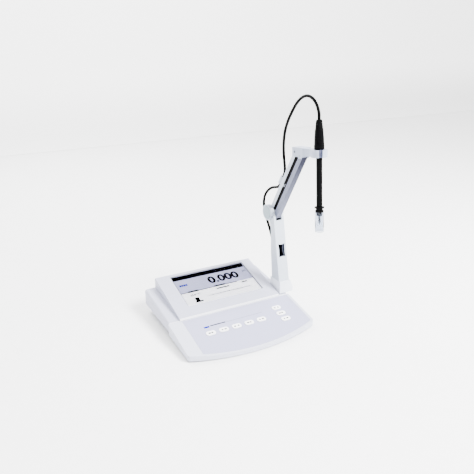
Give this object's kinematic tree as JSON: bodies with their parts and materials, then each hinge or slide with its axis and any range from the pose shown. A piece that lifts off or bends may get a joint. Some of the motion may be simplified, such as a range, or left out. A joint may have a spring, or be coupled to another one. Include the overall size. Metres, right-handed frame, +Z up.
{
  "type": "benchtop ph meter",
  "caption": "Benchtop pH meter: sloped display case with keys, and a swivelling column whose two-bar linkage holds a cabled glass electrode level.",
  "frame": {"origin": "middle of the meter's footprint, the loose lead aside, on the table under its feet", "axes": "+X to the side the arm stands on, +Y to the case's back, +Z up"},
  "size_m": [0.2545, 0.2867, 0.3941],
  "materials": {
    "casing": "light lavender white moulded plastic, fine satin grain",
    "overlay": "printed film, slightly glossier than the casing",
    "key": "white, smooth satin",
    "rubber": "black, matt",
    "screen": "pale lit display",
    "clear_plastic": "clear and glossy",
    "glass": "thin clear glass",
    "grey_plastic": "blue grey satin",
    "board": "green solder mask",
    "arm": "cool white moulded plastic, satin",
    "black_plastic": "black, satin",
    "cable": "black flexible sheath, satin",
    "steel": "plain bright steel",
    "nickel": "nickel plated",
    "silver": "dull silver wire"
  },
  "bodies": {
    "case": {"bottom_plate": "casing", "front_cover": "casing", "rear_cover": "casing", "rear_panel": "casing", "case_screw_1": "steel", "case_screw_2": "steel", "case_screw_3": "steel", "case_screw_4": "steel", "foot_front_left": "rubber", "foot_front_right": "rubber", "foot_back_left": "rubber", "foot_back_right": "rubber", "keypad_overlay": "overlay", "key_board": "board", "display_window": "clear_plastic", "display_bezel": "grey_plastic", "lcd_module": "screen", "main_board": "board", "bnc_jack": "nickel", "temperature_jack": "black_plastic", "power_inlet": "black_plastic", "data_port": "steel", "arm_socket": "arm", "swivel_bolt": "steel", "lower_lead": "cable", "tail_lead": "cable", "lead_coil": "cable", "bnc_plug": "nickel"},
    "column": {"column": "arm", "column_back_cover": "arm", "knuckle_cap_left": "grey_plastic", "knuckle_cap_right": "grey_plastic", "lower_rear_pin": "steel", "lower_front_pin": "steel", "column_cable_clip": "arm", "middle_lead": "cable"},
    "rear_arm": {"rear_bar": "arm", "bar_liner": "black_plastic", "bar_cable_clip": "arm", "upper_lead": "cable"},
    "front_arm": {"front_bar": "grey_plastic"},
    "head": {"electrode_holder": "arm", "holder_bushing": "grey_plastic", "upper_rear_pin": "steel", "upper_front_pin": "steel"},
    "electrode": {"electrode_cap": "black_plastic", "strain_relief": "rubber", "electrode_shaft": "black_plastic", "guard_collar": "black_plastic", "glass_bulb": "glass", "inner_wire": "silver"},
    "guard": {"guard_tube": "clear_plastic"},
    "row_key_1_cap": {"row_key_1": "key"},
    "row_key_2_cap": {"row_key_2": "key"},
    "row_key_3_cap": {"row_key_3": "key"},
    "row_key_4_cap": {"row_key_4": "key"},
    "row_key_5_cap": {"row_key_5": "key"},
    "side_key_1_cap": {"side_key_1": "key"},
    "side_key_2_cap": {"side_key_2": "key"},
    "side_key_3_cap": {"side_key_3": "key"}
  },
  "joints": [
    {"name": "column_swivel", "type": "hinge", "parent": "case", "child": "column", "pos_m": [0.108, 0.009, 0.054], "axis": [0, 0, 1], "range_deg": [-30, 100], "deforming": ["lower_lead"]},
    {"name": "rear_arm_tilt", "type": "hinge", "parent": "column", "child": "rear_arm", "pos_m": [0.108, 0.0355, 0.1783], "axis": [1, 0, 0], "range_deg": [-22, 38], "deforming": ["middle_lead"]},
    {"name": "front_arm_tilt", "type": "hinge", "parent": "column", "child": "front_arm", "pos_m": [0.108, 0.021, 0.1733], "axis": [1, 0, 0], "range_deg": [-22, 38]},
    {"name": "head_level", "type": "hinge", "parent": "rear_arm", "child": "head", "pos_m": [0.108, -0.04026, 0.30193], "axis": [1, 0, 0], "range_deg": [-38, 22], "deforming": ["upper_lead"]},
    {"name": "electrode_lift", "type": "slide", "parent": "head", "child": "electrode", "axis": [0, 0.0785, 0.9969], "range_m": [0, 0.07], "deforming": ["upper_lead"]},
    {"name": "guard_slide", "type": "slide", "parent": "electrode", "child": "guard", "axis": [0, -0.0785, -0.9969], "range_m": [0, 0.035]},
    {"name": "row_key_1_press", "type": "slide", "parent": "case", "child": "row_key_1_cap", "axis": [0, 0.1961, -0.9806], "range_m": [0, 0.0008], "stiffness_N_per_m": 400, "springref_m": -0.0004},
    {"name": "row_key_2_press", "type": "slide", "parent": "case", "child": "row_key_2_cap", "axis": [0, 0.1961, -0.9806], "range_m": [0, 0.0008], "stiffness_N_per_m": 400, "springref_m": -0.0004},
    {"name": "row_key_3_press", "type": "slide", "parent": "case", "child": "row_key_3_cap", "axis": [0, 0.1961, -0.9806], "range_m": [0, 0.0008], "stiffness_N_per_m": 400, "springref_m": -0.0004},
    {"name": "row_key_4_press", "type": "slide", "parent": "case", "child": "row_key_4_cap", "axis": [0, 0.1961, -0.9806], "range_m": [0, 0.0008], "stiffness_N_per_m": 400, "springref_m": -0.0004},
    {"name": "row_key_5_press", "type": "slide", "parent": "case", "child": "row_key_5_cap", "axis": [0, 0.1961, -0.9806], "range_m": [0, 0.0008], "stiffness_N_per_m": 400, "springref_m": -0.0004},
    {"name": "side_key_1_press", "type": "slide", "parent": "case", "child": "side_key_1_cap", "axis": [0, 0.1961, -0.9806], "range_m": [0, 0.0008], "stiffness_N_per_m": 400, "springref_m": -0.0004},
    {"name": "side_key_2_press", "type": "slide", "parent": "case", "child": "side_key_2_cap", "axis": [0, 0.1961, -0.9806], "range_m": [0, 0.0008], "stiffness_N_per_m": 400, "springref_m": -0.0004},
    {"name": "side_key_3_press", "type": "slide", "parent": "case", "child": "side_key_3_cap", "axis": [0, 0.1961, -0.9806], "range_m": [0, 0.0008], "stiffness_N_per_m": 400, "springref_m": -0.0004}
  ],
  "couplings": [
    {"joint": "front_arm_tilt", "follows": "rear_arm_tilt", "ratio": 1},
    {"joint": "head_level", "follows": "rear_arm_tilt", "ratio": -1}
  ]
}
